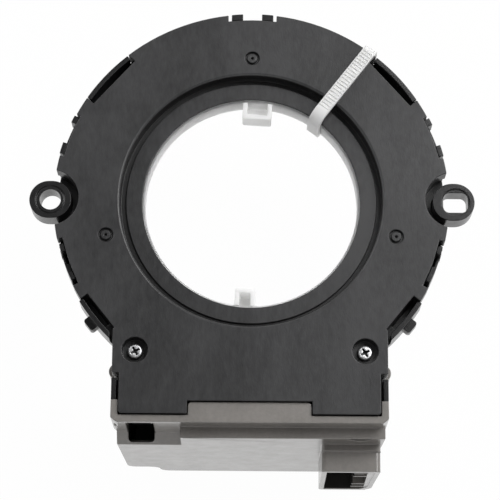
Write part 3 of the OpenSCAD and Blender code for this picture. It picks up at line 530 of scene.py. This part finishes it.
def shaded_piece(bm, name, node):
    """A finished object made from a bmesh, which takes the place of a node."""
    mesh = bpy.data.meshes.new(name)
    bm.to_mesh(mesh)
    bm.free()
    mesh.polygons.foreach_set("use_smooth", [True] * len(mesh.polygons))
    mesh.set_sharp_from_angle(angle=smooth_angle)
    mesh.materials.append(finishes[slot_of[node]])
    piece = bpy.data.objects.new(name, mesh)
    bpy.context.scene.collection.objects.link(piece)
    flat = piece.modifiers.new("flat_faces_stay_flat", "WEIGHTED_NORMAL")
    flat.mode = "FACE_AREA"
    flat.weight = 70
    flat.keep_sharp = True
    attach(piece, body_of(node))
    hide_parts(node)
    print(name, "has", len(mesh.polygons), "faces")


print("the rotor rides on", body_of("rotor"), "and the cover on", body_of("front_cover"))

# %% [markdown]
# A moulded part has no knife edges, and its rounded edges are what catches the light. The CAD
# solids have sharp ones. So each housing part is copied, its loose triangles are merged, a bevel
# rounds the edges that are sharper than a chosen angle, and faces in one plane are joined.

# %% Helpers for a rounded copy of a CAD part
sharp_angle = math.radians(40)


def bevel(bm, edges, width, segments):
    """Rounds edges, each by the same width in millimetres."""
    bmesh.ops.bevel(bm, geom=edges, offset=width * MM, offset_type="OFFSET", segments=segments,
                    profile=0.5, affect="EDGES", material=-1, clamp_overlap=False)


def both_ends(edge, picked):
    """Whether a test in millimetres holds for both ends of an edge."""
    return all(picked(v.co / MM) for v in edge.verts)


def upright(edge):
    """Whether an edge runs along Z."""
    return abs((edge.verts[0].co - edge.verts[1].co).normalized().z) > 0.99


def round_uprights(bm, picked, width):
    """Rounds the upright edges that turn by more than an angle and whose ends are both picked."""
    edges = [edge for edge in bm.edges if edge.calc_face_angle(0) > sharp_angle
             and upright(edge) and both_ends(edge, picked)]
    bevel(bm, edges, width, 5)
    return len(edges)


def rounded_copy(node, width, sharper=sharp_angle, segments=3, first=None, last=None,
                 leave=None):
    """A copy of a CAD part whose edges, where they turn by more than an angle, are rounded.
    What first() and last() do to the merged copy comes before and after that. Edges whose two
    ends are both picked by leave() stay sharp."""
    bm = bmesh.new()
    bm.from_mesh(nodes[node].data)
    bmesh.ops.remove_doubles(bm, verts=bm.verts, dist=0.002 * MM)
    if first:
        print(node, "changed at", first(bm), "places")
    sharp = [edge for edge in bm.edges if edge.calc_face_angle(0) > sharper
             and not (leave and both_ends(edge, leave))]
    bevel(bm, sharp, width, segments)
    if last:
        print(node, "moved at", last(bm), "places")
    bmesh.ops.dissolve_limit(bm, angle_limit=math.radians(0.05), verts=bm.verts, edges=bm.edges)
    shaded_piece(bm, node + "_rounded", node)


def near(value, wanted, within=0.02):
    """Whether two lengths in millimetres are the same, but for rounding."""
    return abs(value - wanted) < within


print("helpers for rounded copies ready")

# %% [markdown]
# The cover only has its edges rounded. On the tray, the low side catches also sit further in
# under the rim, and the snap hook stands back in its window.

# %% Rounded copies of the cover and the tray
catch_turn = (-22, -10)
catch_reach = 49.0
hook_front = -55.5
hook_foot = -1.3
hook_back = 0.9


def seat_catches(bm):
    """Brings the side catches in under the rim and the snap hook back into its window."""
    moved = 0
    for v in bm.verts:
        p = v.co / MM
        turn = math.degrees(math.atan2(p.y, abs(p.x)))
        if catch_turn[0] < turn < catch_turn[1] and p.xy.length > catch_reach + 0.1:
            v.co.xy *= catch_reach / p.xy.length
            moved += 1
        if p.y < hook_front and p.z > hook_foot:
            v.co.y += hook_back * MM
            moved += 1
    return moved


rounded_copy("front_cover", 0.18)
rounded_copy("ring_tray", 0.15, first=seat_catches)

# %% [markdown]
# On the box, the ledge left of the window slopes up to the frame, and the upright corners beside
# it are rounded more widely than the rest. The two round posts at the sides stand a little
# nearer to the ring. Their bevel is made first, because a moved post no longer meets its wall
# in clean edges.

# %% Rounded copy of the connector box
ledge_z = -8.2
ledge_front = -59.2
frame_y = -56.4
ledge_rise = 2.2
ledge_end = -33.9
window_x = -17
frame_back = -7.2
corner_x = 31
post_x, post_y = 32.9, -44.1
post_reach = 2.25
post_lift = 1.9


def by_window(p):
    """Whether a point lies on the left ledge or on the walls that end it."""
    return p.x < window_x + 0.1 and ledge_front - 0.1 < p.y < frame_y + 0.1


def shape_box(bm):
    """Slopes the left ledge and rounds the corners by the window."""
    moved = 0
    for v in bm.verts:
        p = v.co / MM
        if near(p.z, ledge_z) and by_window(p):
            v.co.z += ledge_rise * MM * (p.y - ledge_front) / (frame_y - ledge_front)
            moved += 1
    return moved + round_uprights(
        bm, lambda p: by_window(p) and p.x > ledge_end and p.z > ledge_z - 0.1
        and (near(p.y, frame_y) or near(p.x, window_x)), 0.32)


def lift_posts(bm):
    """Moves the round posts at the sides of the box a little towards the ring."""
    posts = [v for v in bm.verts if abs(v.co.x) > (post_x + 0.4) * MM and math.hypot(
        abs(v.co.x) - post_x * MM, v.co.y - post_y * MM) < post_reach * MM]
    bmesh.ops.translate(bm, verts=posts, vec=(0, post_lift * MM, 0))
    return len(posts)


rounded_copy("connector_box", 0.2, first=shape_box, last=lift_posts,
             leave=lambda p: near(p.z, frame_back, 0.05) and abs(p.x) > corner_x)

# %% [markdown]
# The screws are small pan heads with a cross recess. Their rim is already round in the CAD solid,
# so only the lips of the recess need breaking, by a few hundredths of a millimetre. The rotor's
# lip and the driving dogs get a softer edge, because acetal shrinks as it cools.

# %% Rounded copies of the screws and the rotor
lip_z = 4.4
lip_reach = 26.6
lip_drop = 1.3
dogs_within = 24


def slope_lip(bm):
    """Lets the lip of the rotor slope down into the opening, as a lead-in for the column, and
    rounds the upright corners of the two dogs."""
    lip = [v for v in bm.verts
           if near(v.co.z / MM, lip_z) and near(v.co.xy.length / MM, lip_reach)]
    bmesh.ops.translate(bm, verts=lip, vec=(0, 0, -lip_drop * MM))
    return len(lip) + round_uprights(bm, lambda p: p.xy.length < dogs_within, 0.5)


rounded_copy("left_screw", 0.05, segments=2)
rounded_copy("right_screw", 0.05, segments=2)
rounded_copy("rotor", 0.12, sharper=math.radians(60), segments=2, first=slope_lip)

# %% [markdown]
# The cable tie holds the rotor at its middle position until the sensor is fitted. A real tie has
# a ladder of fine ribs between two raised edges. It is made here from one closed band: a box
# without two of its sides is bent round by bevelled corners, gets its thickness, and is then cut
# across where the ribs begin and end, so that the lanes between them can be pressed in.

# %% Helpers for the cable tie
tie_turn = math.radians(52.8)
tie_low = Vector((25.4, -1.7, -2.4)) * MM
tie_high = Vector((50.3, 1.7, 8.7)) * MM
strap = 1.0 * MM
ladder_start = tie_low.x + 4.3 * MM
lane_count = 21
lane_pitch = 0.92 * MM
lane_share = 0.38
lane_side = 1.4 * MM
lane_depth = 0.24 * MM


def tie_band():
    """The closed strap, lying along X. Its inner upper bend is wider than the other three."""
    bm = bmesh.new()
    bmesh.ops.create_cube(bm, size=1)
    bmesh.ops.scale(bm, verts=bm.verts, vec=tie_high - tie_low)
    bmesh.ops.translate(bm, verts=bm.verts, vec=(tie_low + tie_high) / 2)
    sides = [f for f in bm.faces if abs(f.normal.y) > 0.9]
    bmesh.ops.delete(bm, geom=sides, context="FACES_ONLY")
    corners = [e for e in bm.edges
               if e.is_manifold and abs((e.verts[0].co - e.verts[1].co).y) > MM]
    wide = [e for e in corners if e.verts[0].co.z > 0 and e.verts[0].co.x < 30 * MM]
    bevel(bm, [e for e in corners if e not in wide], 1.6, 7)
    wide = [e for e in bm.edges if abs((e.verts[0].co - e.verts[1].co).y) > MM
            and e.verts[0].co.z > 8.6 * MM and e.verts[0].co.x < 25.5 * MM]
    bevel(bm, wide, 4.0, 12)
    bmesh.ops.recalc_face_normals(bm, faces=bm.faces)
    bmesh.ops.solidify(bm, geom=bm.faces[:], thickness=strap)
    bmesh.ops.recalc_face_normals(bm, faces=bm.faces)
    return bm


def cut_across(bm, place, across):
    """A cut through the whole mesh by a plane at a place, square to a direction."""
    bmesh.ops.bisect_plane(bm, geom=bm.verts[:] + bm.edges[:] + bm.faces[:], dist=1e-7,
                           plane_co=place, plane_no=across)


def in_lane(face):
    """Whether a face of the cut band lies in one of the lanes of the ladder's front."""
    place = face.calc_center_median()
    along = place.x - ladder_start
    return (face.normal.z > 0.99 and place.z > tie_high.z - 0.1 * MM
            and abs(place.y) < lane_side - 0.1 * MM
            and 0 < along < (lane_count - 0.55) * lane_pitch
            and along % lane_pitch < lane_share * lane_pitch)


def press_ladder(bm):
    """Presses the lanes between the ribs into the front of the strap."""
    for side in (-lane_side, lane_side):
        cut_across(bm, (0, side, 0), (0, 1, 0))
    for i in range(lane_count):
        for edge in (0, lane_share):
            cut_across(bm, (ladder_start + (i + edge) * lane_pitch, 0, 0), (1, 0, 0))
    lanes = [face for face in bm.faces if in_lane(face)]
    pressed = bmesh.ops.extrude_discrete_faces(bm, faces=lanes)["faces"]
    bmesh.ops.translate(bm, verts=list({v for face in pressed for v in face.verts}),
                        vec=(0, 0, -lane_depth))
    return len(lanes)


def rounded_block(bm, low, high, width, segments):
    """A block between two corners, in millimetres, with all its edges rounded."""
    low, high = Vector(low) * MM, Vector(high) * MM
    place = Matrix.Translation((low + high) / 2) @ Matrix.Diagonal((*(high - low), 1))
    made = bmesh.ops.create_cube(bm, size=1, matrix=place)["verts"]
    bevel(bm, list({e for v in made for e in v.link_edges}), width, segments)


print("the tie reaches from", round(tie_low.x / MM, 1), "to", round(tie_high.x / MM, 1), "mm")

# %% [markdown]
# The tie's head is a block behind the ring, and the strap's cut end stands out of it. Everything
# is made along X and then turned to the place where the photograph shows the tie.

# %% Cable tie
tie_mesh = tie_band()
print("ladder of", press_ladder(tie_mesh), "lanes")
rounded_block(tie_mesh, (35.25, -2.9, -5.8), (40.45, 2.9, -2.2), 0.5, 3)
rounded_block(tie_mesh, (37.35, -1.7, -7.4), (38.35, 1.7, -5.6), 0.15, 2)
bmesh.ops.rotate(tie_mesh, verts=tie_mesh.verts, cent=(0, 0, 0),
                 matrix=Matrix.Rotation(tie_turn, 3, "Z"))
shaded_piece(tie_mesh, "cable_tie_strap", "cable_tie")
